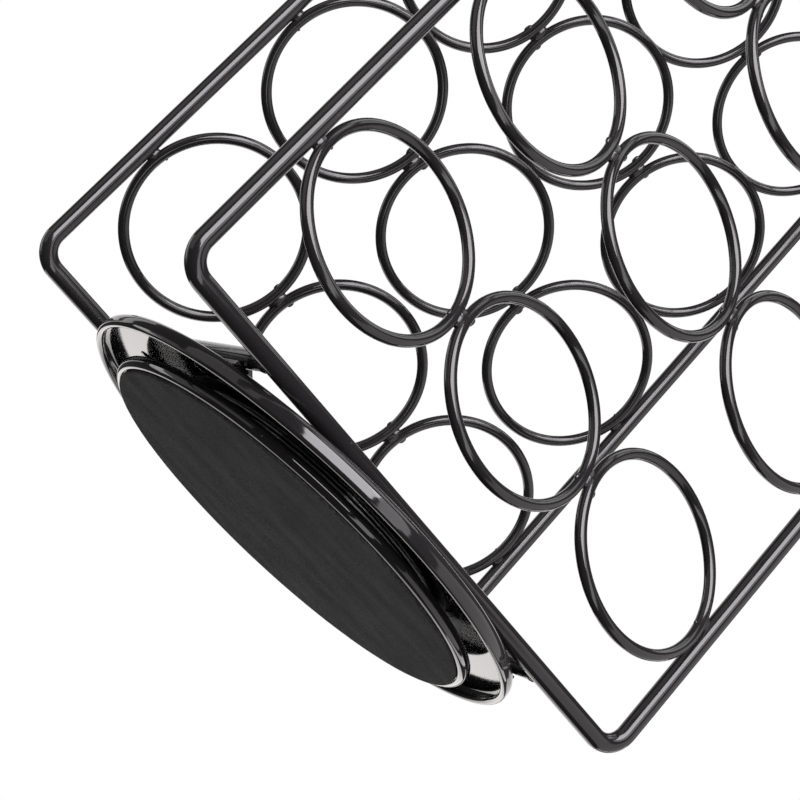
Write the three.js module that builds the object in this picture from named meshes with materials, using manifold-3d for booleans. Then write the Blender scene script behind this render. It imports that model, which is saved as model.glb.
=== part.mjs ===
// Rotating two-sided rack for large single-serve coffee capsules.
// Millimetres, +Z up, origin at the centre of the foam pad's underside.
import * as THREE from 'three';
import { mergeVertices } from 'three/addons/utils/BufferGeometryUtils.js';
import Module from 'manifold-3d';

const wasm = await Module();
wasm.setup();

// Driving dimensions
const gap = 0.3; // clearance kept between neighbouring pieces

const capsuleRingRadius = 25.85; // centreline of the ring that holds one capsule
const ringWireRadius = 1.6;
const ringTilt = THREE.MathUtils.degToRad(23); // tops lean towards the middle of the rack
const ringColumns = 3;
const ringRows = 4;
const columnPitch = 2 * (capsuleRingRadius + ringWireRadius) + gap;
const rowPitch = 58.9;
const endMargin = 42.2; // from the first or last ring centre to the frame bar beyond it

const barRadius = 2.55;
const bendRadius = 7; // centreline of the frame's corner bends
const frameSpacing = 104; // between the planes of the two frames
const crossbarOffset = 54;

const strapThickness = 0.7; // flat strap between each low crossbar and the dish
const strapWidth = 5;
const strapLength = 88;
const rivetSpacing = 36; // along a strap
const rivetRadius = 1.5;
const rivetHeadRadius = 2.8;
const rivetHeadHeight = 1.5;

const padRadius = 58.1;
const padThickness = 1.3;
const padEdge = 0.4;

const footRadius = 59.7;
const footBottom = 0.7;
const footTop = 4;
const footEdgeRadius = 1;
const footTopEdge = 0.6;

const dishRadius = 70.8;
const dishTop = 9.25;
const dishSheet = 0.9;
const shoulderRadius = 2.8;
const lipRadius = 1.4;
const lipBottom = 4.4;
const lipInner = 68.8;

const raceInner = 31;
const raceOuter = 45;
const raceThickness = 0.5;
const grooveHalfWidth = 1;
const grooveDepth = 0.2;
const ballCircleRadius = 38;
const ballRadius = 1.25;
const ballCount = 12;
const cageThickness = 0.5;
const cageHalfWidth = 4;

const boltRadius = 3;
const boltHeadRadius = 5.5;
const boltHeadThickness = 0.9;
const boltHeadClearance = 0.4;
const boltHeadInset = 0.1; // from the pad recess's face up to the head
const boltStickout = 1;
const boltChamfer = 0.4;
const bushRadius = 7;
const washerRadius = 8;
const washerThickness = 1;
const nutAcrossFlats = 10;
const nutThickness = 3;

// Worked out from the driving dimensions
const padRecessRadius = padRadius + gap;
const padRecessTop = padThickness + gap;
const boltHole = boltRadius + gap;
const headRecessRadius = boltHeadRadius + boltHeadClearance;
const headRecessTop = padRecessTop + boltHeadThickness + 2 * gap;
const dishCeiling = dishTop - dishSheet;
const lowerRaceBottom = footTop + gap;
const upperRaceTop = dishCeiling - gap;
const ballHeight = (lowerRaceBottom + upperRaceTop) / 2;
const washerBottom = dishTop + gap;
const nutBottom = washerBottom + washerThickness + gap;
const boltTop = nutBottom + nutThickness + boltStickout;

const rivetHole = rivetRadius + gap;
const rivetPlaces = [-1, 1].flatMap((x) => [-1, 1].map((y) => [x * crossbarOffset, (y * rivetSpacing) / 2]));

const strapBottom = dishTop + gap;
const strapTop = strapBottom + strapThickness;
const barHeight = strapTop + gap + barRadius;
const frameHeight = 2 * endMargin + (ringRows - 1) * rowPitch;
const frameHalfWidth = columnPitch + capsuleRingRadius + ringWireRadius + gap + barRadius;
const topBarHeight = barHeight + frameHeight;
const crossbarLength = frameSpacing - 2 * (barRadius + gap);

const blackPaint = { color: 0x161517, roughness: 0.18, metalness: 0.1 };
const foam = { color: 0x3d3d3b, roughness: 0.95, metalness: 0 };
const zincSteel = { color: 0xb4b6b8, roughness: 0.35, metalness: 1 };
const ballSteel = { color: 0xd2d3d4, roughness: 0.12, metalness: 1 };
const nylon = { color: 0xdedbd2, roughness: 0.6, metalness: 0 };

const rack = new THREE.Group();

function addPiece(name, geometry, finish, parent = rack) {
  const mesh = new THREE.Mesh(geometry, new THREE.MeshStandardMaterial(finish));
  mesh.name = name;
  parent.add(mesh);
  return mesh;
}

// Points of an arc in a turned profile, as [radius, height] pairs
function arc(centreR, centreZ, radius, fromDegrees, toDegrees, steps) {
  return Array.from({ length: steps + 1 }, (_, i) => {
    const angle = THREE.MathUtils.degToRad(fromDegrees + ((toDegrees - fromDegrees) * i) / steps);
    return [centreR + radius * Math.cos(angle), centreZ + radius * Math.sin(angle)];
  });
}

// A profile of [radius, height] pairs turned about +Z; outer walls run upwards
function turned(profile, segments) {
  const points = profile.map(([r, z]) => new THREE.Vector2(r, z));
  return new THREE.LatheGeometry(points, segments).rotateX(Math.PI / 2);
}

// A flat ring turned from a rectangle
function turnedRing(innerRadius, outerRadius, bottom, top, segments) {
  return turned([
    [innerRadius, bottom], [outerRadius, bottom], [outerRadius, top], [innerRadius, top],
    [innerRadius, bottom],
  ], segments);
}

function circlePoints(centreX, centreY, radius, count) {
  return Array.from({ length: count }, (_, i) => {
    const angle = (2 * Math.PI * i) / count;
    return new THREE.Vector2(centreX + radius * Math.cos(angle), centreY + radius * Math.sin(angle));
  });
}

// A round bar bent to a closed rectangle with rounded corners, in the XZ plane
function bentLoop(halfWidth, halfHeight, bend, radius, sides = 8, bendSteps = 4) {
  const corners = [[1, 1], [-1, 1], [-1, -1], [1, -1]];
  const stations = corners.flatMap(([signX, signZ], corner) =>
    Array.from({ length: bendSteps + 1 }, (_, i) => {
      const angle = (Math.PI / 2) * (corner + i / bendSteps);
      const outward = new THREE.Vector3(Math.cos(angle), 0, Math.sin(angle));
      const centre = new THREE.Vector3(signX * (halfWidth - bend), 0, signZ * (halfHeight - bend));
      return { centre: centre.addScaledVector(outward, bend), outward };
    }));
  const across = new THREE.Vector3(0, 1, 0);
  const positions = [];
  const triangles = [];
  stations.forEach(({ centre, outward }, i) => {
    const next = (i + 1) % stations.length;
    for (let side = 0; side < sides; side += 1) {
      const angle = (2 * Math.PI * (side + 0.5)) / sides;
      const point = centre.clone()
        .addScaledVector(outward, radius * Math.cos(angle))
        .addScaledVector(across, radius * Math.sin(angle));
      positions.push(...point.toArray());
      const [a, b] = [i * sides + side, i * sides + ((side + 1) % sides)];
      const [c, d] = [next * sides + side, next * sides + ((side + 1) % sides)];
      triangles.push(a, b, c, b, d, c);
    }
  });
  const geometry = new THREE.BufferGeometry();
  geometry.setAttribute('position', new THREE.Float32BufferAttribute(positions, 3));
  geometry.setIndex(triangles);
  geometry.computeVertexNormals();
  return geometry;
}

function solidOf(geometry) {
  const bare = geometry.clone();
  bare.deleteAttribute('normal');
  bare.deleteAttribute('uv');
  const merged = mergeVertices(bare);
  return new wasm.Manifold(new wasm.Mesh({
    numProp: 3,
    vertProperties: merged.attributes.position.array,
    triVerts: new Uint32Array(merged.index.array),
  }));
}

// Round upright holes cut through a piece, at a list of [x, y] places
function drilled(geometry, places, radius, bottom, top) {
  const solid = places.reduce((body, [x, y]) => {
    const drill = new THREE.CylinderGeometry(radius, radius, top - bottom, 12).rotateX(Math.PI / 2);
    return body.subtract(solidOf(drill.translate(x, y, (bottom + top) / 2)));
  }, solidOf(geometry));
  const mesh = solid.getMesh();
  const result = new THREE.BufferGeometry();
  result.setAttribute('position', new THREE.BufferAttribute(mesh.vertProperties, 3));
  result.setIndex(new THREE.BufferAttribute(mesh.triVerts, 1));
  result.computeVertexNormals();
  return result;
}

// Foot: what stands still on the table
function foamPad() {
  return turned([
    [0, 0], [padRadius - padEdge, 0], [padRadius, padEdge], [padRadius, padThickness], [0, padThickness],
  ], 48);
}

function footDisc() {
  const edgeCentre = footRadius - footEdgeRadius;
  return turned([
    [boltHole, headRecessTop], [headRecessRadius, headRecessTop], [headRecessRadius, padRecessTop],
    [padRecessRadius, padRecessTop], [padRecessRadius, footBottom],
    ...arc(edgeCentre, footBottom + footEdgeRadius, footEdgeRadius, -90, 0, 3),
    ...arc(footRadius - footTopEdge, footTop - footTopEdge, footTopEdge, 0, 90, 2),
    [boltHole, footTop], [boltHole, headRecessTop],
  ], 48);
}

// A pressed race whose groove faces the balls; direction is +1 when the groove is on top
function race(backHeight, direction) {
  const face = backHeight + direction * raceThickness;
  const profile = [
    [raceInner, backHeight], [raceOuter, backHeight], [raceOuter, face],
    [ballCircleRadius + grooveHalfWidth, face],
    [ballCircleRadius, face - direction * grooveDepth],
    [ballCircleRadius - grooveHalfWidth, face],
    [raceInner, face], [raceInner, backHeight],
  ];
  return turned(direction > 0 ? profile : profile.reverse(), 40);
}

function pivotBolt() {
  const headBottom = padRecessTop + boltHeadInset;
  return turned([
    [0, headBottom], [boltHeadRadius, headBottom], [boltHeadRadius, headBottom + boltHeadThickness],
    [boltRadius, headBottom + boltHeadThickness], [boltRadius, boltTop - boltChamfer],
    [boltRadius - boltChamfer, boltTop], [0, boltTop],
  ], 20);
}

function pivotNut() {
  const hexagon = new THREE.Shape(circlePoints(0, 0, nutAcrossFlats / Math.sqrt(3), 6));
  hexagon.holes.push(new THREE.Path(circlePoints(0, 0, boltHole, 20)));
  return new THREE.ExtrudeGeometry(hexagon, { depth: nutThickness, bevelEnabled: false });
}

addPiece('foam_pad', foamPad(), foam);
addPiece('foot_disc', footDisc(), blackPaint);
addPiece('lower_race', race(lowerRaceBottom, 1), zincSteel);
addPiece('thrust_bush', turnedRing(boltHole, bushRadius, footTop + gap, dishCeiling - gap, 24), nylon);
addPiece('pivot_bolt', pivotBolt(), zincSteel);
addPiece('pivot_washer',
  turnedRing(boltHole, washerRadius, washerBottom, washerBottom + washerThickness, 24), zincSteel);
addPiece('pivot_nut', pivotNut(), zincSteel).position.z = nutBottom;

// Bearing: the cage carries the balls round between the two races
function ballCage() {
  const outline = new THREE.Shape(circlePoints(0, 0, ballCircleRadius + cageHalfWidth, 48));
  outline.holes.push(new THREE.Path(circlePoints(0, 0, ballCircleRadius - cageHalfWidth, 40)));
  for (let i = 0; i < ballCount; i += 1) {
    const angle = (2 * Math.PI * i) / ballCount;
    const [x, y] = [ballCircleRadius * Math.cos(angle), ballCircleRadius * Math.sin(angle)];
    outline.holes.push(new THREE.Path(circlePoints(x, y, ballRadius + gap, 8)));
  }
  return new THREE.ExtrudeGeometry(outline, { depth: cageThickness, bevelEnabled: false });
}

addPiece('ball_cage', ballCage(), zincSteel).position.z = ballHeight - cageThickness / 2;
for (let i = 0; i < ballCount; i += 1) {
  const angle = (2 * Math.PI * i) / ballCount;
  const ball = addPiece(`bearing_ball_${i + 1}`, new THREE.SphereGeometry(ballRadius, 8, 6), ballSteel);
  ball.position.set(ballCircleRadius * Math.cos(angle), ballCircleRadius * Math.sin(angle), ballHeight);
}

// Turntable: a pressed dish, open side down, with a shoulder and an inward-curled lip
function turntableDish() {
  const shoulderCentre = [dishRadius - shoulderRadius, dishTop - shoulderRadius];
  const lipCentre = [dishRadius - lipRadius, lipBottom + lipRadius];
  return turned([
    [boltHole, dishCeiling],
    ...arc(...shoulderCentre, shoulderRadius - dishSheet, 90, 0, 3),
    ...arc(...lipCentre, lipRadius - dishSheet, 0, -90, 2),
    [lipInner, lipBottom + dishSheet], [lipInner, lipBottom + dishSheet / 2],
    ...arc(...lipCentre, lipRadius, -90, 0, 3),
    ...arc(...shoulderCentre, shoulderRadius, 0, 90, 4),
    [boltHole, dishTop], [boltHole, dishCeiling],
  ], 48);
}

// A domed rivet from inside the dish, up through the dish and the strap
function strapRivet() {
  const headTop = dishCeiling - gap;
  const dome = [[0, headTop - rivetHeadHeight], [0.6, 0.94], [0.87, 0.68], [1, 0.3]];
  return turned([
    dome[0],
    ...dome.slice(1).map(([r, drop]) => [r * rivetHeadRadius, headTop - drop * rivetHeadHeight]),
    [rivetHeadRadius, headTop], [rivetRadius, headTop], [rivetRadius, strapTop], [0, strapTop],
  ], 16);
}

addPiece('upper_race', race(upperRaceTop, -1), zincSteel);
addPiece('turntable_dish',
  drilled(turntableDish(), rivetPlaces, rivetHole, dishCeiling - 1, dishTop + 1), blackPaint);
rivetPlaces.forEach(([x, y], i) => {
  addPiece(`strap_rivet_${i + 1}`, strapRivet(), blackPaint).position.set(x, y, 0);
});
for (const [side, x] of [['left', -crossbarOffset], ['right', crossbarOffset]]) {
  const strap = new THREE.BoxGeometry(strapWidth, strapLength, strapThickness);
  strap.translate(x, 0, (strapBottom + strapTop) / 2);
  const places = rivetPlaces.filter(([rivetX]) => rivetX === x);
  addPiece(`crossbar_strap_${side}`, drilled(strap, places, rivetHole, strapBottom - 1, strapTop + 1), blackPaint);
}

// Crossbars: two low and two high, joining the front frame to the rear one
function addCrossbar(name, x, z) {
  const bar = addPiece(name, new THREE.CylinderGeometry(barRadius, barRadius, crossbarLength, 12), blackPaint);
  bar.position.set(x, 0, z);
}

for (const [side, x] of [['left', -crossbarOffset], ['right', crossbarOffset]]) {
  addCrossbar(`bottom_crossbar_${side}`, x, barHeight);
  addCrossbar(`top_crossbar_${side}`, x, topBarHeight);
}

// Frames and their capsule rings; inward is the direction from the frame to the rack's middle
function addFrame(side, inward) {
  const frame = new THREE.Group();
  frame.position.set(0, (-inward * frameSpacing) / 2, barHeight);
  rack.add(frame);

  const loop = bentLoop(frameHalfWidth, frameHeight / 2, bendRadius, barRadius);
  addPiece(`frame_${side}`, loop, blackPaint, frame).position.z = frameHeight / 2;

  const columnNames = ['left', 'centre', 'right'];
  for (let row = 0; row < ringRows; row += 1) {
    for (let column = 0; column < ringColumns; column += 1) {
      const wire = new THREE.TorusGeometry(capsuleRingRadius, ringWireRadius, 6, 26);
      const ring = addPiece(`ring_${side}_row${row + 1}_${columnNames[column]}`, wire, blackPaint, frame);
      ring.rotation.x = Math.PI / 2 - inward * ringTilt;
      ring.position.set((column - 1) * columnPitch, 0, endMargin + row * rowPitch);
    }
  }
}

addFrame('front', 1);
addFrame('rear', -1);

export default rack;
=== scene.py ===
import math
import random

import bpy
from mathutils import Matrix, Vector


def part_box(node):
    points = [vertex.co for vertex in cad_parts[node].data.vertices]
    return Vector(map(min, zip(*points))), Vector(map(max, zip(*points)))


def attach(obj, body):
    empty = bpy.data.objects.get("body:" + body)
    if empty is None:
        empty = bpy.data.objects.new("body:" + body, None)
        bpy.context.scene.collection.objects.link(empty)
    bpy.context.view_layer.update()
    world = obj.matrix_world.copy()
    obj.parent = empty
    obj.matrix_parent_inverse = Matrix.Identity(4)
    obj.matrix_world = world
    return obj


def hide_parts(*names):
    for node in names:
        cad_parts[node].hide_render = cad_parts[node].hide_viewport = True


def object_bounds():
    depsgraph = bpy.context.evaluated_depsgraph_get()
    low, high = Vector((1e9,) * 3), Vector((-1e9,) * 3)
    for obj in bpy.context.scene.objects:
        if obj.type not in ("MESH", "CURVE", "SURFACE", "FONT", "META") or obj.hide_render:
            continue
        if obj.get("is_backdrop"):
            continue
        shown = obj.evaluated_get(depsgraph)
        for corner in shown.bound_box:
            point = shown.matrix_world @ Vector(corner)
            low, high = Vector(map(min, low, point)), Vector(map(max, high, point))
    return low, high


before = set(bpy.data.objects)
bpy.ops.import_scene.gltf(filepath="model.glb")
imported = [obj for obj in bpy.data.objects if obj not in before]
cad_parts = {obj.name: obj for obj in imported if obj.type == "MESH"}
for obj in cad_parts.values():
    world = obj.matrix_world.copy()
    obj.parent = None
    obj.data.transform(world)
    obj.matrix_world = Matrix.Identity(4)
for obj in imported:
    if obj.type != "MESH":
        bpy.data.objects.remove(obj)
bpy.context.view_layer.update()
scene = bpy.context.scene
mm = 0.001  # the scene is in metres
print("frame loaded:", len(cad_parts), "nodes")


# Adds a node with its settings, then sets or links its inputs
def put(tree, kind, inputs=None, **settings):
    made = tree.nodes.new(kind)
    for name, value in settings.items():
        setattr(made, name, value)
    for name, value in (inputs or {}).items():
        if isinstance(value, bpy.types.NodeSocket):
            tree.links.new(value, made.inputs[name])
        else:
            made.inputs[name].default_value = value
    return made


def maths(tree, operation, a, b):
    return put(tree, "ShaderNodeMath", {0: a, 1: b}, operation=operation).outputs[0]


def newMaterial(name):
    material = bpy.data.materials.new(name)
    material.use_nodes = True
    tree = material.node_tree
    tree.nodes.clear()
    output = put(tree, "ShaderNodeOutputMaterial")
    shader = put(tree, "ShaderNodeBsdfPrincipled")
    tree.links.new(shader.outputs["BSDF"], output.inputs["Surface"])
    return material, tree, shader


# Cloudy noise in the object's own space; an offset keeps one pattern apart from another
def grain(tree, scale, detail, rough=0.5, stretch=(1, 1, 1), offset=(0, 0, 0)):
    coords = put(tree, "ShaderNodeTexCoord").outputs["Object"]
    placed = put(tree, "ShaderNodeMapping", {"Vector": coords, "Location": offset, "Scale": stretch})
    return put(tree, "ShaderNodeTexNoise", {
        "Vector": placed.outputs["Vector"], "Scale": scale, "Detail": detail, "Roughness": rough,
    }).outputs["Fac"]


def cells(tree, scale):
    coords = put(tree, "ShaderNodeTexCoord").outputs["Object"]
    return put(tree, "ShaderNodeTexVoronoi", {"Vector": coords, "Scale": scale})


def remap(tree, value, fromLow, fromHigh, toLow, toHigh):
    return put(tree, "ShaderNodeMapRange", {
        "Value": value, "From Min": fromLow, "From Max": fromHigh, "To Min": toLow, "To Max": toHigh,
    }).outputs["Result"]


def blendColours(tree, factor, first, second):
    made = put(tree, "ShaderNodeMix", {0: factor}, data_type="RGBA")
    for slotIndex, value in ((6, first), (7, second)):
        if isinstance(value, bpy.types.NodeSocket):
            tree.links.new(value, made.inputs[slotIndex])
        else:
            made.inputs[slotIndex].default_value = (*value, 1)
    return made.outputs[2]


# Layers are (height, distance, strength), each bump feeding the next
def addBump(tree, shader, layers):
    normal = None
    for height, distance, strength in layers:
        inputs = {"Height": height, "Distance": distance, "Strength": strength}
        if normal is not None:
            inputs["Normal"] = normal
        normal = put(tree, "ShaderNodeBump", inputs).outputs["Normal"]
    tree.links.new(normal, shader.inputs["Normal"])


# Black enamel, one recipe for smooth bar, for pressed sheet and for rough weld metal
enamel = {
    "deep": (0.0088, 0.0082, 0.0087), "cloudy": (0.0122, 0.0114, 0.0119), "cloudScale": 46,
    "dust": (0.055, 0.052, 0.050), "dustScale": 520, "dustShare": 0.035, "dustCover": 0.45,
    "dustRadii": (0.10, 0.17), "dustHeight": 0.02 * mm, "dustRoughness": 0.3,
    "rubbed": (0.030, 0.027, 0.026), "rubbedScale": 210, "rubbedCover": 0.8,
    "edgeLow": 0.56, "edgeHigh": 0.66, "patchScale": 130, "handledScale": 34, "handledRoughness": 0.02,
    "peelScale": 420, "swellScale": 150, "swellShare": 3, "lumpScale": 900, "ior": 1.5,
    "finishes": {
        "blackEnamel": {"roughLow": 0.09, "roughHigh": 0.13, "peelHeight": 0.0025 * mm, "lumpHeight": 0},
        "pressedEnamel": {"roughLow": 0.045, "roughHigh": 0.08, "peelHeight": 0.0015 * mm, "lumpHeight": 0},
        "weldEnamel": {"roughLow": 0.14, "roughHigh": 0.21, "peelHeight": 0.005 * mm,
                       "lumpHeight": 0.03 * mm},
    },
}


# Keeps the given share of scattered cells, as discs that fade out between two radii, in cell widths
def scattered(tree, scale, channel, share, radii):
    spots = cells(tree, scale)
    split = put(tree, "ShaderNodeSeparateColor", {"Color": spots.outputs["Color"]})
    chosen = maths(tree, "GREATER_THAN", split.outputs[channel], 1 - share)
    disc = remap(tree, spots.outputs["Distance"], *radii, 1, 0)
    return maths(tree, "MULTIPLY", chosen, disc)


def enamelMaterial(name):
    finish = enamel["finishes"][name]
    material, tree, shader = newMaterial(name)
    clouds = remap(tree, grain(tree, enamel["cloudScale"], 4.0), 0.35, 0.7, 0, 1)
    base = blendColours(tree, clouds, enamel["deep"], enamel["cloudy"])
    # settled dust: sparse tiny specks, each about half a millimetre across
    specks = scattered(tree, enamel["dustScale"], "Red", enamel["dustShare"], enamel["dustRadii"])
    base = blendColours(tree, maths(tree, "MULTIPLY", specks, enamel["dustCover"]), base, enamel["dust"])
    # the film is thin and slightly rubbed along sharp edges
    pointed = put(tree, "ShaderNodeNewGeometry").outputs["Pointiness"]
    edges = remap(tree, pointed, enamel["edgeLow"], enamel["edgeHigh"], 0, 1)
    wear = remap(tree, grain(tree, enamel["rubbedScale"], 5.0), 0.5, 0.72, 0, enamel["rubbedCover"])
    base = blendColours(tree, maths(tree, "MULTIPLY", edges, wear), base, enamel["rubbed"])
    tree.links.new(base, shader.inputs["Base Color"])
    patches = remap(tree, grain(tree, enamel["patchScale"], 5.0, 0.6, offset=(3, 1, 2)),
                    0.3, 0.75, finish["roughLow"], finish["roughHigh"])
    handled = remap(tree, grain(tree, enamel["handledScale"], 3.0, 0.5, offset=(7, 4, 1)),
                    0.45, 0.7, 0, enamel["handledRoughness"])
    roughness = maths(tree, "ADD", patches, handled)
    dusty = maths(tree, "MULTIPLY", specks, enamel["dustRoughness"])
    tree.links.new(maths(tree, "ADD", roughness, dusty), shader.inputs["Roughness"])
    shader.inputs["IOR"].default_value = enamel["ior"]
    peel = grain(tree, enamel["peelScale"], 1.0)
    swell = grain(tree, enamel["swellScale"], 1.0, offset=(5, 5, 5))
    layers = [(peel, finish["peelHeight"], 0.6), (swell, finish["peelHeight"] * enamel["swellShare"], 0.5),
              (specks, enamel["dustHeight"], 0.4)]
    if finish["lumpHeight"]:
        lumps = grain(tree, enamel["lumpScale"], 3.0, 0.6, offset=(1, 9, 4))
        layers.append((lumps, finish["lumpHeight"], 0.9))
    addBump(tree, shader, layers)
    return material


blackEnamel, pressedEnamel, weldEnamel = [enamelMaterial(name) for name in enamel["finishes"]]

# Foam: black, matt and porous, mottled along one way and with a little lint
foam = {
    "dark": (0.006, 0.006, 0.006), "pale": (0.066, 0.0655, 0.066),
    "mottleScale": 44, "mottleStretch": (1, 2.2, 1), "poreScale": 2300, "speckleScale": 1500,
    "lint": (0.15, 0.145, 0.14), "lintScale": 330, "lintShare": 0.07, "lintCover": 0.8,
    "lintRadii": (0.04, 0.09), "poreTone": 0.15, "speckleTone": 0.55, "mottleTone": 0.3,
    "roughLow": 0.82, "roughHigh": 0.95, "specular": 0.04, "swellScale": 60,
    "swellHeight": 0.25 * mm, "poreHeight": 0.16 * mm, "speckleHeight": 0.08 * mm,
}


def foamMaterial():
    material, tree, shader = newMaterial("blackFoam")
    clouds = grain(tree, foam["mottleScale"], 2.0, stretch=foam["mottleStretch"])
    mottle = remap(tree, clouds, 0.35, 0.65, 0, 1)
    pores = remap(tree, cells(tree, foam["poreScale"]).outputs["Distance"], 0.1, 0.6, 0, 1)
    speckle = remap(tree, grain(tree, foam["speckleScale"], 3.0, 0.7), 0.36, 0.64, 0, 1)
    tone = maths(tree, "MULTIPLY", pores, foam["poreTone"])
    for layer, share in ((speckle, foam["speckleTone"]), (mottle, foam["mottleTone"])):
        tone = maths(tree, "ADD", tone, maths(tree, "MULTIPLY", layer, share))
    base = blendColours(tree, tone, foam["dark"], foam["pale"])
    lint = scattered(tree, foam["lintScale"], "Green", foam["lintShare"], foam["lintRadii"])
    base = blendColours(tree, maths(tree, "MULTIPLY", lint, foam["lintCover"]), base, foam["lint"])
    tree.links.new(base, shader.inputs["Base Color"])
    roughness = remap(tree, speckle, 0, 1, foam["roughLow"], foam["roughHigh"])
    tree.links.new(roughness, shader.inputs["Roughness"])
    shader.inputs["Specular IOR Level"].default_value = foam["specular"]
    addBump(tree, shader, [
        (grain(tree, foam["swellScale"], 2.0), foam["swellHeight"], 0.3),
        (pores, foam["poreHeight"], 0.7), (speckle, foam["speckleHeight"], 0.6)])
    return material


blackFoam = foamMaterial()

# Bare metal: clouded, faintly stained, and scratched along one way
metals = {
    "stainCover": 0.5, "scratchStretch": (1, 14, 1), "pitScale": 1600,
    "finishes": {
        "zincSteel": {
            "first": (0.50, 0.51, 0.53), "second": (0.66, 0.66, 0.65), "stain": (0.56, 0.50, 0.40),
            "roughLow": 0.26, "roughHigh": 0.44, "scale": 240, "scratchHeight": 0.03 * mm},
        "ballSteel": {
            "first": (0.62, 0.63, 0.65), "second": (0.74, 0.74, 0.75), "stain": (0.60, 0.58, 0.55),
            "roughLow": 0.07, "roughHigh": 0.16, "scale": 700, "scratchHeight": 0.006 * mm},
    },
}


def metalMaterial(name):
    finish = metals["finishes"][name]
    material, tree, shader = newMaterial(name)
    clouds = remap(tree, grain(tree, finish["scale"], 4.0), 0.35, 0.65, 0, 1)
    base = blendColours(tree, clouds, finish["first"], finish["second"])
    patches = grain(tree, finish["scale"] / 3, 3.0, offset=(2, 8, 3))
    stained = remap(tree, patches, 0.55, 0.75, 0, metals["stainCover"])
    tree.links.new(blendColours(tree, stained, base, finish["stain"]), shader.inputs["Base Color"])
    shader.inputs["Metallic"].default_value = 1
    scratches = grain(tree, finish["scale"], 5.0, 0.7, stretch=metals["scratchStretch"])
    roughness = remap(tree, scratches, 0.3, 0.7, finish["roughLow"], finish["roughHigh"])
    tree.links.new(roughness, shader.inputs["Roughness"])
    pits = grain(tree, metals["pitScale"], 2.0)
    addBump(tree, shader, [
        (scratches, finish["scratchHeight"], 0.6), (pits, finish["scratchHeight"], 0.5)])
    return material


zincSteel, ballSteel = [metalMaterial(name) for name in metals["finishes"]]

# Nylon: milky white, for the bush inside the base
nylon = {
    "first": (0.66, 0.63, 0.56), "second": (0.74, 0.72, 0.67), "cloudScale": 260,
    "roughLow": 0.42, "roughHigh": 0.6, "roughScale": 800, "dimpleScale": 500,
    "dimpleHeight": 0.03 * mm, "glow": 0.2, "glowRadius": (1.0 * mm, 0.9 * mm, 0.7 * mm),
}


def nylonMaterial():
    material, tree, shader = newMaterial("nylon")
    clouds = remap(tree, grain(tree, nylon["cloudScale"], 3.0), 0.3, 0.7, 0, 1)
    base = blendColours(tree, clouds, nylon["first"], nylon["second"])
    tree.links.new(base, shader.inputs["Base Color"])
    patches = grain(tree, nylon["roughScale"], 4.0)
    roughness = remap(tree, patches, 0.3, 0.7, nylon["roughLow"], nylon["roughHigh"])
    tree.links.new(roughness, shader.inputs["Roughness"])
    shader.inputs["Subsurface Weight"].default_value = nylon["glow"]
    shader.inputs["Subsurface Radius"].default_value = nylon["glowRadius"]
    dimples = grain(tree, nylon["dimpleScale"], 2.0)
    addBump(tree, shader, [(dimples, nylon["dimpleHeight"], 0.4)])
    return material


whiteNylon = nylonMaterial()
print("materials made")


# The middle of a CAD node's box
def centreOf(node):
    low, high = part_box(node)
    return (low + high) / 2


def addObject(name, data):
    made = bpy.data.objects.new(name, data)
    scene.collection.objects.link(made)
    return made


def addMesh(name, vertices, faces, material):
    mesh = bpy.data.meshes.new(name)
    mesh.from_pydata(vertices, [], faces)
    mesh.materials.append(material)
    return addObject(name, mesh)


# Starts a node tree with named inputs for its sizes and its material
def newTree(name, inputs):
    tree = bpy.data.node_groups.new(name, "GeometryNodeTree")
    for label, kind in [("Geometry", "Geometry"), *inputs, ("Finish", "Material")]:
        tree.interface.new_socket(label, in_out="INPUT", socket_type="NodeSocket" + kind)
    tree.interface.new_socket("Geometry", in_out="OUTPUT", socket_type="NodeSocketGeometry")
    return tree, put(tree, "NodeGroupInput").outputs


def endTree(tree, given, geometry):
    smooth = put(tree, "GeometryNodeSetShadeSmooth", {"Geometry": geometry})
    real = put(tree, "GeometryNodeRealizeInstances", {"Geometry": smooth.outputs[0]})
    finished = put(tree, "GeometryNodeSetMaterial", {
        "Geometry": real.outputs[0], "Material": given["Finish"]})
    put(tree, "NodeGroupOutput", {"Geometry": finished.outputs[0]})


# Runs a node tree on some points, which may carry attributes, and keeps the result as a plain mesh
def growPiece(name, tree, values, points=(), attributes=None):
    seed = bpy.data.meshes.new(name + "Seed")
    seed.from_pydata([tuple(p) for p in points], [], [])
    for label, vectors in (attributes or {}).items():
        stored = seed.attributes.new(label, "FLOAT_VECTOR", "POINT")
        stored.data.foreach_set("vector", [c for v in vectors for c in v])
    holder = addObject(name + "Holder", seed)
    modifier = holder.modifiers.new("grow", "NODES")
    modifier.node_group = tree
    sockets = {item.name: item.identifier for item in tree.interface.items_tree
               if item.item_type == "SOCKET" and item.in_out == "INPUT"}
    for label, value in values.items():
        modifier[sockets[label]] = value
    grown = holder.evaluated_get(bpy.context.evaluated_depsgraph_get())
    mesh = bpy.data.meshes.new_from_object(grown)
    bpy.data.objects.remove(holder)
    mesh.name = name
    return addObject(name, mesh)


def settle(piece, body, slotName, *nodes):
    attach(piece, body)
    if nodes:
        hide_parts(*nodes)


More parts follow.
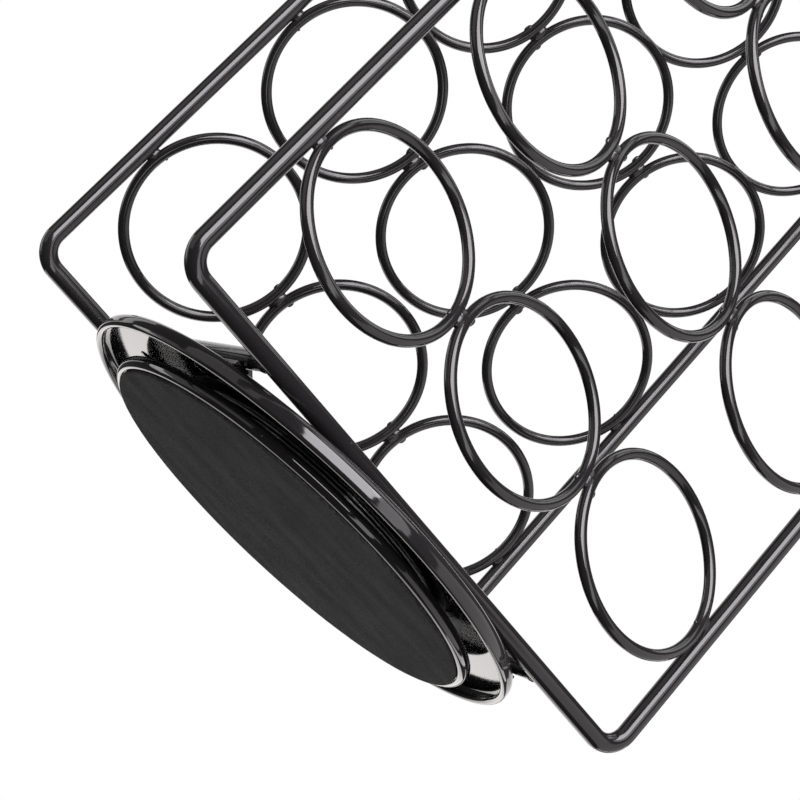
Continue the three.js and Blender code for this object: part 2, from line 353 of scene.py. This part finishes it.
# A mesh turned round +Z from [radius, height] pairs, whose outer wall runs upwards. The profile is a
# list of pairs, or a function that gives one for each angle.
def loftPiece(name, profile, steps, material, held=0.12 * mm):
    turns = [2 * math.pi * i / steps for i in range(steps)]
    rows = [profile(turn) if callable(profile) else profile for turn in turns]
    longOnes = [math.dist(a, b) > 5 * held for a, b in zip(rows[0], rows[0][1:])]
    rows = [holdCorners(row, longOnes, held) for row in rows]
    closed = rows[0][0] == rows[0][-1]
    if closed:
        rows = [row[:-1] for row in rows]
    count = len(rows[0])
    vertices, index = [], {}
    for i, (row, turn) in enumerate(zip(rows, turns)):
        for j, (r, z) in enumerate(row):
            if r == 0 and i:  # a pole is one shared point
                index[i, j] = index[0, j]
                continue
            index[i, j] = len(vertices)
            vertices.append((r * math.cos(turn), r * math.sin(turn), z))
    faces = []
    for i in range(steps):
        k = (i + 1) % steps
        for j in range(count if closed else count - 1):
            n = (j + 1) % count
            loop = [index[i, j], index[k, j], index[k, n], index[i, n]]
            faces.append(list(dict.fromkeys(loop)))
    piece = addMesh(name, vertices, faces, material)
    piece.data.shade_smooth()
    return piece


# Extra points close to the ends of long stretches keep the flats flat under smooth shading
def holdCorners(row, longOnes, held):
    result = [row[0]]
    for a, b, isLong in zip(row, row[1:], longOnes):
        if isLong:
            share = held / math.dist(a, b)
            for t in (share, 1 - share):
                result.append((a[0] + (b[0] - a[0]) * t, a[1] + (b[1] - a[1]) * t))
        result.append(b)
    return result


def arc(centreR, centreZ, radius, start, end, steps):
    angles = [math.radians(start + (end - start) * i / steps) for i in range(steps + 1)]
    return [(centreR + radius * math.cos(a), centreZ + radius * math.sin(a)) for a in angles]


# Frames: one round bar bent to a closed loop and butt-welded
frameBar = {"barRadius": 2.55 * mm, "bendRadius": 7 * mm, "bendSteps": 14, "sides": 28}


def frameTree():
    tree, given = newTree("bentFrameLoop", [
        ("Width", "Float"), ("Height", "Float"), ("Bend Radius", "Float"), ("Bar Radius", "Float"),
        ("Bend Steps", "Int"), ("Sides", "Int"), ("Centre", "Vector")])
    outline = put(tree, "GeometryNodeCurvePrimitiveQuadrilateral", {
        "Width": given["Width"], "Height": given["Height"]}, mode="RECTANGLE")
    bent = put(tree, "GeometryNodeFilletCurve", {
        "Curve": outline.outputs[0], "Count": given["Bend Steps"], "Radius": given["Bend Radius"],
    }, mode="POLY")
    upright = put(tree, "GeometryNodeTransform", {
        "Geometry": bent.outputs[0], "Translation": given["Centre"], "Rotation": (math.pi / 2, 0, 0)})
    section = put(tree, "GeometryNodeCurvePrimitiveCircle", {
        "Resolution": given["Sides"], "Radius": given["Bar Radius"]}, mode="RADIUS")
    bar = put(tree, "GeometryNodeCurveToMesh", {
        "Curve": upright.outputs[0], "Profile Curve": section.outputs[0]})
    endTree(tree, given, bar.outputs[0])
    return tree


barLoops = frameTree()
barRadius = frameBar["barRadius"]
barFlat = barRadius * math.cos(math.pi / 8)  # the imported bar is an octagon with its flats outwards
framePlanes = {}
for side in ("front", "rear"):
    low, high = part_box("frame_" + side)
    centre = centreOf("frame_" + side)
    framePlanes[side] = centre.y
    piece = growPiece(side + "FrameBar", barLoops, {
        "Width": high.x - low.x - 2 * barFlat, "Height": high.z - low.z - 2 * barFlat,
        "Bend Radius": frameBar["bendRadius"], "Bar Radius": barRadius,
        "Bend Steps": frameBar["bendSteps"], "Sides": frameBar["sides"],
        "Centre": tuple(centre), "Finish": blackEnamel})
    settle(piece, "turntable", "frame_paint", "frame_" + side)
print("frames bent, in planes", [round(y, 4) for y in framePlanes.values()])


# Capsule rings: thin wire closed to a circle, leaning so that each capsule tips back
ring = {
    "radius": 25.85 * mm, "wireRadius": 1.6 * mm, "lean": math.radians(23),
    "waver": 0.14 * mm, "waverScale": 45, "steps": 116, "sides": 18, "seed": 11,
}
rowNames = ["row1", "row2", "row3", "row4"]
columnNames = ["left", "centre", "right"]
inward = {"front": 1, "rear": -1}  # the way along Y to the middle of the rack


def ringTree():
    tree, given = newTree("capsuleRing", [
        ("Ring Radius", "Float"), ("Wire Radius", "Float"), ("Lean", "Float"), ("Centre", "Vector"),
        ("Waver", "Float"), ("Waver Scale", "Float"), ("Steps", "Int"), ("Sides", "Int"),
        ("Seed", "Float")])
    circle = put(tree, "GeometryNodeCurvePrimitiveCircle", {
        "Resolution": given["Steps"], "Radius": given["Ring Radius"]}, mode="RADIUS")
    noise = put(tree, "ShaderNodeTexNoise", {
        "W": given["Seed"], "Scale": given["Waver Scale"], "Detail": 1.0}, noise_dimensions="4D")
    centred = put(tree, "ShaderNodeVectorMath", {0: noise.outputs["Color"], 1: (0.5, 0.5, 0.5)},
                  operation="SUBTRACT")
    scaled = put(tree, "ShaderNodeVectorMath", {0: centred.outputs[0], "Scale": given["Waver"]},
                 operation="SCALE")
    wavy = put(tree, "GeometryNodeSetPosition", {
        "Geometry": circle.outputs[0], "Offset": scaled.outputs[0]})
    turn = put(tree, "ShaderNodeCombineXYZ", {"X": given["Lean"]})
    placed = put(tree, "GeometryNodeTransform", {
        "Geometry": wavy.outputs[0], "Translation": given["Centre"], "Rotation": turn.outputs[0]})
    section = put(tree, "GeometryNodeCurvePrimitiveCircle", {
        "Resolution": given["Sides"], "Radius": given["Wire Radius"]}, mode="RADIUS")
    wire = put(tree, "GeometryNodeCurveToMesh", {
        "Curve": placed.outputs[0], "Profile Curve": section.outputs[0]})
    endTree(tree, given, wire.outputs[0])
    return tree


def makeRing(side, row, column):
    node = f"ring_{side}_{row}_{column}"
    centre = centreOf(node)
    centre.y = framePlanes[side]
    ringCentres[side, row, column] = centre
    piece = growPiece(f"capsuleRing_{side}_{row}_{column}", ringLoops, {
        "Ring Radius": ring["radius"], "Wire Radius": ring["wireRadius"],
        "Lean": math.pi / 2 - inward[side] * ring["lean"], "Centre": tuple(centre),
        "Waver": ring["waver"], "Waver Scale": ring["waverScale"], "Steps": ring["steps"],
        "Sides": ring["sides"], "Seed": float(ring["seed"] + len(ringCentres)),
        "Finish": blackEnamel})
    settle(piece, "turntable", "ring_paint", node)


ringLoops = ringTree()
ringCentres = {}
for side in ("front", "rear"):
    for row in rowNames:
        for column in columnNames:
            makeRing(side, row, column)
print("capsule rings made:", len(ringCentres))


# Crossbars: straight bars whose ends are fused into the frame bars
crossbar = {"sides": 28, "bite": 1.2 * mm}


def crossbarTree():
    tree, given = newTree("straightBar", [
        ("Start", "Vector"), ("End", "Vector"), ("Bar Radius", "Float"), ("Sides", "Int")])
    line = put(tree, "GeometryNodeCurvePrimitiveLine", {"Start": given["Start"], "End": given["End"]})
    section = put(tree, "GeometryNodeCurvePrimitiveCircle", {
        "Resolution": given["Sides"], "Radius": given["Bar Radius"]}, mode="RADIUS")
    bar = put(tree, "GeometryNodeCurveToMesh", {
        "Curve": line.outputs[0], "Profile Curve": section.outputs[0], "Fill Caps": True})
    endTree(tree, given, bar.outputs[0])
    return tree


straightBars = crossbarTree()
crossbarEnds = []
reach = abs(framePlanes["front"]) - barRadius + crossbar["bite"]
for level in ("bottom", "top"):
    for hand in ("left", "right"):
        node = f"{level}_crossbar_{hand}"
        centre = centreOf(node)
        piece = growPiece(f"{level}Crossbar_{hand}", straightBars, {
            "Start": (centre.x, -reach, centre.z), "End": (centre.x, reach, centre.z),
            "Bar Radius": barRadius, "Sides": crossbar["sides"], "Finish": blackEnamel})
        settle(piece, "turntable", "frame_paint", node)
        crossbarEnds.append((centre.x, centre.z))
print("crossbars made:", len(crossbarEnds))


# Resistance welds: the wires sink into each other and a little metal is squeezed out round them.
# A spot joins two wires, a nub is a bead beside it, a tee joins a crossbar's end to a frame.
weld = {
    "ringSpot": (1.75 * mm, 1.75 * mm, 3.1 * mm), "barSpot": (1.5 * mm, 1.4 * mm, 2.3 * mm),
    "teeSpot": (2.75 * mm, 2.75 * mm, 1.1 * mm), "spotDrift": 0.12 * mm,
    "nub": 0.75 * mm, "nubSizes": (0.75, 1.15), "nubStretch": 1.8,
    "nubAt": 2.3 * mm, "nubDrift": (-0.9 * mm, 0.3 * mm), "barNub": 0.525 * mm, "barNubAt": 2.07 * mm,
    "nubSeat": 0.9, "barSeat": 0.95, "teeSeat": 0.86,  # shares of the wire's or bar's radius
    "lump": 0.4 * mm, "lumpScale": 620.0, "ballLevel": 4, "seed": 4,
}


def weldSpotTree():
    tree, given = newTree("weldSpots", [("Lump", "Float"), ("Lump Scale", "Float")])
    ball = put(tree, "GeometryNodeMeshIcoSphere", {"Radius": 1.0, "Subdivisions": weld["ballLevel"]})
    along = put(tree, "GeometryNodeInputNamedAttribute", {"Name": "along"}, data_type="FLOAT_VECTOR")
    size = put(tree, "GeometryNodeInputNamedAttribute", {"Name": "halfSize"}, data_type="FLOAT_VECTOR")
    turned = put(tree, "FunctionNodeAlignRotationToVector", {"Vector": along.outputs[0]}, axis="Z")
    spots = put(tree, "GeometryNodeInstanceOnPoints", {
        "Points": given["Geometry"], "Instance": ball.outputs[0], "Rotation": turned.outputs[0],
        "Scale": size.outputs[0]})
    real = put(tree, "GeometryNodeRealizeInstances", {"Geometry": spots.outputs[0]})
    noise = put(tree, "ShaderNodeTexNoise", {"Scale": given["Lump Scale"], "Detail": 2.0})
    height = maths(tree, "MULTIPLY", maths(tree, "SUBTRACT", noise.outputs["Fac"], 0.5), given["Lump"])
    normal = put(tree, "GeometryNodeInputNormal")
    push = put(tree, "ShaderNodeVectorMath", {0: normal.outputs[0], "Scale": height}, operation="SCALE")
    lumpy = put(tree, "GeometryNodeSetPosition", {
        "Geometry": real.outputs[0], "Offset": push.outputs[0]})
    endTree(tree, given, lumpy.outputs[0])
    return tree


spotTree = weldSpotTree()
dice = random.Random(weld["seed"])


def spotDrift():
    return Vector([dice.uniform(-weld["spotDrift"], weld["spotDrift"]) for _ in range(3)])


# A point on a ring's wire, at an arc length from the side where it touches its neighbour
def alongRing(centre, hand, wireAlong, arcLength, radius):
    turn = arcLength / ring["radius"]
    outwards = Vector((hand, 0, 0))
    spot = centre + radius * (outwards * math.cos(turn) + wireAlong * math.sin(turn))
    return spot, wireAlong * math.cos(turn) - outwards * math.sin(turn)


# Each spot is a place, the direction of its long axis and its three half sizes
def weldsOnSide(side):
    wireAlong = Vector((0, inward[side] * math.sin(ring["lean"]), math.cos(ring["lean"])))
    inwardY = Vector((0, inward[side], 0))
    nubRadius = ring["radius"] - ring["wireRadius"] * weld["nubSeat"]
    barContact = ring["radius"] + ring["wireRadius"] * weld["barSeat"]
    spots = []
    for row in rowNames:
        centres = [ringCentres[side, row, column] for column in columnNames]
        for a, b in zip(centres, centres[1:]):
            spots.append(((a + b) / 2 + spotDrift(), wireAlong, weld["ringSpot"]))
            for centre, hand in ((a, 1), (b, -1)):
                at = dice.choice((-1, 1)) * (weld["nubAt"] + dice.uniform(*weld["nubDrift"]))
                spot, tangent = alongRing(centre, hand, wireAlong, at, nubRadius)
                size = weld["nub"] * dice.uniform(*weld["nubSizes"])
                spots.append((spot, tangent, (size, size, size * weld["nubStretch"])))
        for hand, centre in ((-1, centres[0]), (1, centres[-1])):
            contact = centre + Vector((hand * barContact, 0, 0))
            spots.append((contact + spotDrift(), wireAlong + Vector((0, 0, 1)), weld["barSpot"]))
            at = dice.choice((-1, 1)) * weld["barNubAt"]
            spot, tangent = alongRing(centre, hand, wireAlong, at, nubRadius)
            spots.append((spot, tangent, (weld["barNub"],) * 3))
    for x, z in crossbarEnds:
        meeting = Vector((x, framePlanes[side], z)) + inwardY * barRadius * weld["teeSeat"]
        spots.append((meeting, inwardY, weld["teeSpot"]))
    return spots


for side in ("front", "rear"):
    places, directions, sizes = zip(*weldsOnSide(side))
    piece = growPiece(side + "Welds", spotTree, {
        "Lump": weld["lump"], "Lump Scale": weld["lumpScale"], "Finish": weldEnamel,
    }, places, {"along": directions, "halfSize": sizes})
    settle(piece, "turntable", "frame_paint")
print("welds made")


# Straps: flat bars under the low crossbars, riveted to the dish from inside
strap = {
    "thickness": 1.3 * mm, "lift": 0.05 * mm, "halfLength": 41 * mm, "halfWidth": 2.1 * mm,
    "edge": 0.3 * mm, "edgeSteps": 3,
}
dishLow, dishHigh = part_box("turntable_dish")


def makeStrap(hand):
    node = "crossbar_strap_" + hand
    x = centreOf(node).x
    bottom = dishHigh.z + strap["lift"]
    corners = [(x + a * strap["halfWidth"], b * strap["halfLength"], z)
               for a in (-1, 1) for b in (-1, 1) for z in (bottom, bottom + strap["thickness"])]
    faces = [(0, 1, 3, 2), (4, 6, 7, 5), (0, 4, 5, 1), (2, 3, 7, 6), (0, 2, 6, 4), (1, 5, 7, 3)]
    piece = addMesh("crossbarStrap_" + hand, corners, faces, blackEnamel)
    piece.data.shade_smooth()
    rounded = piece.modifiers.new("roundedEdges", "BEVEL")
    rounded.width = strap["edge"]
    rounded.segments = strap["edgeSteps"]
    rounded.harden_normals = True
    settle(piece, "turntable", "frame_paint", node)


makeStrap("left")
makeStrap("right")
print("straps made")


# Dish: a pressed sheet with a rounded shoulder and a beaded lip
dish = {
    "sheet": 0.9 * mm, "shoulder": 2.8 * mm, "shoulderSteps": 10, "insideSteps": 8,
    "bead": 1.0 * mm, "beadStart": 80, "beadSteps": 26, "hole": 3.3 * mm, "steps": 256,
}
dishCeiling = dishHigh.z - dish["sheet"]


def dishProfile():
    outer, top, hole = (dishHigh.x - dishLow.x) / 2, dishHigh.z, dish["hole"]
    shoulderR, shoulderZ = outer - dish["shoulder"], top - dish["shoulder"]
    insideRadius = dish["shoulder"] - dish["sheet"]
    beadR, beadZ = outer - dish["bead"], dishLow.z + dish["bead"]
    middle = shoulderR / 2
    return [
        (hole, dishCeiling), (middle, dishCeiling),
        *arc(shoulderR, shoulderZ, insideRadius, 90, 0, dish["insideSteps"]),
        *arc(beadR, beadZ, dish["bead"], dish["beadStart"], 360, dish["beadSteps"]),
        *arc(shoulderR, shoulderZ, dish["shoulder"], 0, 90, dish["shoulderSteps"]),
        (middle, top), (hole, top), (hole, dishCeiling),
    ]


piece = loftPiece("turntableDish", dishProfile(), dish["steps"], pressedEnamel)
settle(piece, "turntable", "dish_paint", "turntable_dish")


# Rivets: low domes under the dish's ceiling, with shanks up through the straps
rivet = {
    "radius": 1.9 * mm, "height": 0.35 * mm, "shank": 1.5 * mm, "count": 4, "steps": 40,
    # shares of the radius and of the height, from the crown down to the rim
    "dome": [(0.35, 0.985), (0.6, 0.9), (0.8, 0.74), (0.93, 0.5), (0.985, 0.25), (1.0, 0.06), (0.99, 0)],
}
rivetNodes = [f"strap_rivet_{i + 1}" for i in range(rivet["count"])]


def rivetProfile():
    radius, height, shank = rivet["radius"], rivet["height"], rivet["shank"]
    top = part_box(rivetNodes[0])[1].z
    return [
        (0.0, dishCeiling - height),
        *[(radius * out, dishCeiling - height * down) for out, down in rivet["dome"]],
        (shank, dishCeiling), (shank, top), (0.0, top),
    ]


def repeatTree():
    tree, given = newTree("repeatedShape", [("Shape", "Object")])
    shape = put(tree, "GeometryNodeObjectInfo", {"Object": given["Shape"]})
    copies = put(tree, "GeometryNodeInstanceOnPoints", {
        "Points": given["Geometry"], "Instance": shape.outputs["Geometry"]})
    endTree(tree, given, copies.outputs[0])
    return tree


pattern = loftPiece("rivetPattern", rivetProfile(), rivet["steps"], blackEnamel)
places = [centreOf(node).to_2d().to_3d() for node in rivetNodes]
piece = growPiece("strapRivets", repeatTree(), {"Shape": pattern, "Finish": blackEnamel}, places)
bpy.data.objects.remove(pattern)
settle(piece, "turntable", "frame_paint", *rivetNodes)
print("dish and rivets made")


# Foot: a thin disc with rounded edges and a recess for the foam pad
foot = {
    "radius": 60.3 * mm, "lowEdge": 1.6 * mm, "lowSteps": 10, "highEdge": 0.6 * mm, "highSteps": 7,
    "recess": 58.3 * mm, "recessTop": 1.55 * mm, "recessEdge": 0.15 * mm,
    "hole": 3.3 * mm, "headRecess": 5.9 * mm, "headTop": 3.1 * mm, "steps": 256,
}
footLow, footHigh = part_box("foot_disc")


def footProfile():
    outer, low, top = foot["radius"], footLow.z, footHigh.z
    lowEdge, highEdge = foot["lowEdge"], foot["highEdge"]
    recess, recessEdge = foot["recess"], foot["recessEdge"]
    return [
        (foot["hole"], foot["headTop"]), (foot["headRecess"], foot["headTop"]),
        (foot["headRecess"], foot["recessTop"]), (recess, foot["recessTop"]),
        (recess, low + recessEdge), (recess + recessEdge, low),
        *arc(outer - lowEdge, low + lowEdge, lowEdge, -90, 0, foot["lowSteps"]),
        *arc(outer - highEdge, top - highEdge, highEdge, 0, 90, foot["highSteps"]),
        (foot["hole"], top), (foot["hole"], foot["headTop"]),
    ]


piece = loftPiece("footDisc", footProfile(), foot["steps"], pressedEnamel)
settle(piece, "foot", "foot_paint", "foot_disc")


# Pad: a disc of foam stuck in the recess, whose die-cut edge is never quite even
pad = {
    "radius": 58.1 * mm, "thickness": 1.3 * mm, "edge": 0.35 * mm, "edgeSteps": 5, "topEdge": 0.1 * mm,
    "ragged": 0.05 * mm, "waves": [(23, 0.5, 1), (61, 0.3, 0), (7, 0.2, 2)],  # count, share, phase
    "rings": 12, "steps": 320,
}


def padProfile(angle):
    waves = sum(share * math.sin(count * angle + phase) for count, share, phase in pad["waves"])
    edgeR = pad["radius"] - pad["ragged"] * (1 + waves)
    edge, top, topEdge = pad["edge"], pad["thickness"], pad["topEdge"]
    flat = edgeR - 2 * edge
    return [
        *[(flat * i / pad["rings"], 0.0) for i in range(pad["rings"] + 1)],
        *arc(edgeR - edge, edge, edge, -90, 0, pad["edgeSteps"]),
        (edgeR, top - topEdge), (edgeR - topEdge, top), (0.0, top),
    ]


piece = loftPiece("foamPad", padProfile, pad["steps"], blackFoam)
settle(piece, "foot", "foam_pad", "foam_pad")
print("foot and pad made")


# Pivot: a bolt up through the foot and the dish, with its thread as a ridge wound round it
pivot = {
    "headRadius": 5.5 * mm, "headThickness": 0.9 * mm, "headEdge": 0.3 * mm, "headDrop": 0.25 * mm,
    "neckEdge": 0.15 * mm, "tipEdge": 0.5 * mm, "tipDrop": 0.55 * mm, "steps": 48,
    "threadRadius": 2.75 * mm, "threadSink": 0.08 * mm, "crest": 0.32 * mm, "pitch": 1 * mm,
    "threadStart": 0.6 * mm, "threadEnd": 0.75 * mm, "threadSteps": 40, "crestSides": 6,
}
boltLow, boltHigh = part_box("pivot_bolt")


def threadTree():
    tree, given = newTree("boltThread", [
        ("Radius", "Float"), ("Crest", "Float"), ("Turns", "Float"), ("Height", "Float"),
        ("Start", "Vector")])
    spiral = put(tree, "GeometryNodeCurveSpiral", {
        "Resolution": pivot["threadSteps"], "Rotations": given["Turns"],
        "Start Radius": given["Radius"], "End Radius": given["Radius"], "Height": given["Height"]})
    section = put(tree, "GeometryNodeCurvePrimitiveCircle", {
        "Resolution": pivot["crestSides"], "Radius": given["Crest"]}, mode="RADIUS")
    ridge = put(tree, "GeometryNodeCurveToMesh", {
        "Curve": spiral.outputs[0], "Profile Curve": section.outputs[0], "Fill Caps": True})
    placed = put(tree, "GeometryNodeTransform", {
        "Geometry": ridge.outputs[0], "Translation": given["Start"]})
    endTree(tree, given, placed.outputs[0])
    return tree


def boltProfile():
    shank, head, low, tip = pivot["threadRadius"], pivot["headRadius"], boltLow.z, boltHigh.z
    neck, neckEdge = low + pivot["headThickness"], pivot["neckEdge"]
    return [
        (0.0, low), (head - pivot["headEdge"], low), (head, low + pivot["headDrop"]),
        (head, neck - neckEdge), (head - neckEdge, neck), (shank, neck),
        (shank, tip - pivot["tipDrop"]), (shank - pivot["tipEdge"], tip), (0.0, tip),
    ]


bolt = loftPiece("pivotBolt", boltProfile(), pivot["steps"], zincSteel)
settle(bolt, "foot", "zinc_steel", "pivot_bolt")
threadBottom = boltLow.z + pivot["headThickness"] + pivot["threadStart"]
threadHeight = boltHigh.z - pivot["threadEnd"] - threadBottom
thread = growPiece("pivotThread", threadTree(), {
    "Radius": pivot["threadRadius"] - pivot["threadSink"], "Crest": pivot["crest"],
    "Turns": threadHeight / pivot["pitch"], "Height": threadHeight, "Start": (0, 0, threadBottom),
    "Finish": zincSteel})
settle(thread, "foot", "zinc_steel")


# Nut: six flats, chamfered at both ends where the corners stand out
nut = {"chamfer": math.tan(math.radians(30)), "land": 0.96, "bore": 3.02 * mm, "boreEdge": 0.35 * mm,
       "steps": 72, "held": 0.06 * mm}
nutLow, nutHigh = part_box("pivot_nut")


def nutProfile(angle):
    halfFlats = (nutHigh.y - nutLow.y) / 2
    corner = halfFlats / math.cos(angle % (math.pi / 3) - math.pi / 6)
    land = halfFlats * nut["land"]
    drop = (corner - land) * nut["chamfer"]
    low, high, bore, edge = nutLow.z, nutHigh.z, nut["bore"], nut["boreEdge"]
    return [
        (bore + edge, low), (land, low), (corner, low + drop), (corner, high - drop), (land, high),
        (bore + edge, high), (bore, high - edge), (bore, low + edge), (bore + edge, low),
    ]


piece = loftPiece("pivotNut", nutProfile, nut["steps"], zincSteel, nut["held"])
settle(piece, "foot", "zinc_steel", "pivot_nut")


# Washer: a flat ring with broken edges
washer = {"bore": 3.2 * mm, "edge": 0.2 * mm, "steps": 72}
washerLow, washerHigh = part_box("pivot_washer")


def washerProfile():
    outer, low, high = (washerHigh.x - washerLow.x) / 2, washerLow.z, washerHigh.z
    bore, edge = washer["bore"], washer["edge"]
    return [
        (bore + edge, low), (outer - edge, low), (outer, low + edge), (outer, high - edge),
        (outer - edge, high), (bore + edge, high), (bore, high - edge), (bore, low + edge),
        (bore + edge, low),
    ]


piece = loftPiece("pivotWasher", washerProfile(), washer["steps"], zincSteel)
settle(piece, "foot", "zinc_steel", "pivot_washer")


# Bearing: loose balls, and four hidden pieces that keep their CAD shapes
bearing = {"ballCount": 12, "segments": 28, "rings": 16}
ballNodes = [f"bearing_ball_{i + 1}" for i in range(bearing["ballCount"])]
ballLow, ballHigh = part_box(ballNodes[0])


def ballTree():
    tree, given = newTree("bearingBalls", [("Ball Radius", "Float")])
    ball = put(tree, "GeometryNodeMeshUVSphere", {
        "Segments": bearing["segments"], "Rings": bearing["rings"], "Radius": given["Ball Radius"]})
    balls = put(tree, "GeometryNodeInstanceOnPoints", {
        "Points": given["Geometry"], "Instance": ball.outputs[0]})
    endTree(tree, given, balls.outputs[0])
    return tree


places = [centreOf(node) for node in ballNodes]
piece = growPiece("bearingBalls", ballTree(), {
    "Ball Radius": (ballHigh.z - ballLow.z) / 2, "Finish": ballSteel}, places)
settle(piece, "bearing_cage", "ball_steel", *ballNodes)

for node, material in (("lower_race", zincSteel), ("upper_race", zincSteel), ("ball_cage", zincSteel),
                       ("thrust_bush", whiteNylon)):
    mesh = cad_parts[node].data
    mesh.materials.clear()
    mesh.materials.append(material)
print("pivot and bearing made")


# Table: a pale disc just under the pad, seen only from above, that fades into the surround
tableTop = {
    "radius": 0.6, "height": -0.4 * mm, "steps": 128, "solid": 0.16, "gone": 0.42,
    "first": (0.80, 0.80, 0.80), "second": (0.83, 0.83, 0.83), "cloudScale": 3,
}


def tableMaterial():
    material = bpy.data.materials.new("paleTable")
    material.use_nodes = True
    tree = material.node_tree
    tree.nodes.clear()
    clouds = remap(tree, grain(tree, tableTop["cloudScale"], 2.0), 0.3, 0.7, 0, 1)
    tone = blendColours(tree, clouds, tableTop["first"], tableTop["second"])
    matte = put(tree, "ShaderNodeBsdfDiffuse", {"Color": tone})
    clear = put(tree, "ShaderNodeBsdfTransparent")
    seen = put(tree, "ShaderNodeLightPath").outputs["Is Camera Ray"]
    below = put(tree, "ShaderNodeNewGeometry").outputs["Backfacing"]
    shown = maths(tree, "MULTIPLY", seen, maths(tree, "SUBTRACT", 1.0, below))
    place = put(tree, "ShaderNodeTexCoord").outputs["Object"]
    distance = put(tree, "ShaderNodeVectorMath", {0: place}, operation="LENGTH").outputs["Value"]
    fade = put(tree, "ShaderNodeMapRange", {
        "Value": distance, "From Min": tableTop["solid"], "From Max": tableTop["gone"],
        "To Min": 1.0, "To Max": 0.0,
    }, interpolation_type="SMOOTHSTEP").outputs["Result"]
    shown = maths(tree, "MULTIPLY", shown, fade)
    mixed = put(tree, "ShaderNodeMixShader", {0: shown, 1: clear.outputs[0], 2: matte.outputs[0]})
    put(tree, "ShaderNodeOutputMaterial", {"Surface": mixed.outputs[0]})
    return material


rim = [(x, y, tableTop["height"]) for x, y in arc(0, 0, tableTop["radius"], 0, 360, tableTop["steps"])]
face = tuple(range(tableTop["steps"]))
table = addMesh("tableTop", rim[:-1], [face], tableMaterial())
table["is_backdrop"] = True


# Studio: a white surround for the camera only, and softboxes that the gloss picks up
studio = {
    "aim": (0, 0, 0.14), "surround": (0.072, 0.069, 0.073),
    "softboxes": [
        # name, azimuth, elevation, distance, width, height, brightness, tint
        ("frontMain", -26, 26, 1.4, 0.95, 1.36, 10.0, (1.0, 0.97, 1.0)),
        ("frontEdge", 4, 26, 1.4, 0.45, 1.36, 2.6, (1.0, 0.97, 1.0)),
        ("frontSide", 62, 0, 1.6, 1.9, 3.0, 1.0, (1.0, 0.95, 0.97)),
        ("leftSide", -88, 10, 1.6, 1.2, 2.2, 0.6, (1.0, 0.96, 0.96)),
        ("lowBack", 150, -36, 1.4, 1.2, 1.5, 2.0, (1.0, 0.97, 0.95)),
        ("lowFrontStrip", 2, -22, 1.4, 0.3, 1.1, 3.0, (1.0, 0.98, 1.0)),
        ("lowRightStrip", 105, -19, 1.5, 0.3, 1.1, 2.5, (1.0, 0.98, 1.0)),
        ("lowBackStrip", 222, -15, 1.5, 0.35, 0.9, 2.5, (1.0, 0.98, 0.97)),
        ("backdrop", 162, 16, 1.4, 3.0, 1.0, 1.0, (1.0, 0.98, 0.97)),
        ("leftLow", -125, -21, 1.4, 0.7, 1.15, 0.6, (1.0, 0.97, 0.97)),
        ("overhead", 0, 88, 1.5, 1.2, 1.2, 2.0, (1.0, 1.0, 1.0)),
    ],
}


def towards(azimuth, elevation):
    a, e = math.radians(azimuth), math.radians(elevation)
    return Vector((math.sin(a) * math.cos(e), -math.cos(a) * math.cos(e), math.sin(e)))


def addSoftbox(name, azimuth, elevation, distance, width, height, brightness, tint):
    lamp = bpy.data.lights.new(name, "AREA")
    lamp.shape = "RECTANGLE"
    lamp.size = width
    lamp.size_y = height
    lamp.energy = brightness * math.pi * width * height
    lamp.color = tint
    box = addObject(name, lamp)
    direction = towards(azimuth, elevation)
    box.location = Vector(studio["aim"]) + direction * distance
    box.rotation_euler = (-direction).to_track_quat("-Z", "Y").to_euler()
    box.visible_camera = False


for softbox in studio["softboxes"]:
    addSoftbox(*softbox)


def makeSurround():
    world = bpy.data.worlds.new("studioSurround")
    world.use_nodes = True
    tree = world.node_tree
    tree.nodes.clear()
    white = put(tree, "ShaderNodeBackground", {"Color": (1, 1, 1, 1), "Strength": 1.0})
    dim = put(tree, "ShaderNodeBackground", {"Color": (*studio["surround"], 1), "Strength": 1.0})
    seen = put(tree, "ShaderNodeLightPath").outputs["Is Camera Ray"]
    mixed = put(tree, "ShaderNodeMixShader", {0: seen, 1: dim.outputs[0], 2: white.outputs[0]})
    put(tree, "ShaderNodeOutputWorld", {"Surface": mixed.outputs[0]})
    return world


scene.world = makeSurround()
scene.view_settings.view_transform = "Standard"

# Camera: close, below the rack, looking up at the pad with the rack tipped in the view
shot = {
    "lens": 84.989, "sensor": 36, "near": 0.01, "far": 50, "location": (-0.19687, -0.44035, -0.09507),
    "azimuth": 23.938, "elevation": 16.498, "roll": -42.955,
}


def makeCamera():
    lens = bpy.data.cameras.new("shot")
    lens.lens = shot["lens"]
    lens.sensor_width = shot["sensor"]
    lens.clip_start = shot["near"]
    lens.clip_end = shot["far"]
    made = addObject("shot", lens)
    turn, lift, roll = (math.radians(shot[k]) for k in ("azimuth", "elevation", "roll"))
    forward = Vector((math.sin(turn) * math.cos(lift), math.cos(turn) * math.cos(lift), math.sin(lift)))
    level = forward.cross(Vector((0, 0, 1))).normalized().cross(forward)
    upwards = math.cos(roll) * level + math.sin(roll) * forward.cross(level)
    across = forward.cross(upwards)
    made.matrix_world = Matrix((across, upwards, -forward)).transposed().to_4x4()
    made.location = shot["location"]
    return made


scene.camera = makeCamera()
print("studio and camera set")

low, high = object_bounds()
